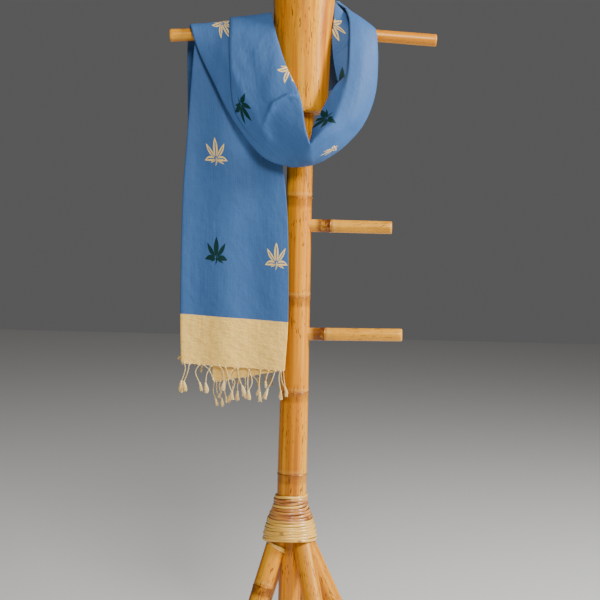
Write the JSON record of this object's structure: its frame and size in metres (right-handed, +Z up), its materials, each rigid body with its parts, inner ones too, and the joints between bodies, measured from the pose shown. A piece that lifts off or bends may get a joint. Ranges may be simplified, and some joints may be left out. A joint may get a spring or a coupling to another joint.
{
  "type": "silk stole on a bamboo display stand",
  "caption": "Long woven stole with bands at its ends and knotted fringes, folded lengthwise and wound round the neck of a bamboo stand with splayed legs, two arms and side pegs.",
  "frame": {"origin": "foot of the post, on the surface that the stand's feet rest on", "axes": "+Z up; -Y towards a viewer who faces the front of the stole; +X to that viewer's right, the side of the pegs"},
  "size_m": [0.499, 0.4004, 1.44],
  "materials": {
    "blue_silk": "handwoven silk, soft sheen, scattered leaf motifs",
    "beige_silk": "coarse woven raw silk",
    "cream_thread": "twisted and knotted warp ends",
    "honey_bamboo": "varnished, with brown flecks",
    "rattan": "split rattan, varnished"
  },
  "bodies": {
    "root": {"front_panel": "blue_silk", "front_border": "beige_silk", "front_fringe": "cream_thread", "flap_fringe": "cream_thread", "swag": "blue_silk", "swag_flap": "blue_silk", "collar": "blue_silk", "back_panel": "blue_silk", "back_border": "beige_silk", "back_fringe": "cream_thread", "neck": "honey_bamboo", "post": "honey_bamboo", "arm_left": "honey_bamboo", "arm_right": "honey_bamboo", "peg_upper": "honey_bamboo", "peg_lower": "honey_bamboo", "leg_1": "honey_bamboo", "leg_2": "honey_bamboo", "leg_3": "honey_bamboo", "leg_4": "honey_bamboo", "leg_5": "honey_bamboo", "binding": "rattan"}
  },
  "joints": []
}
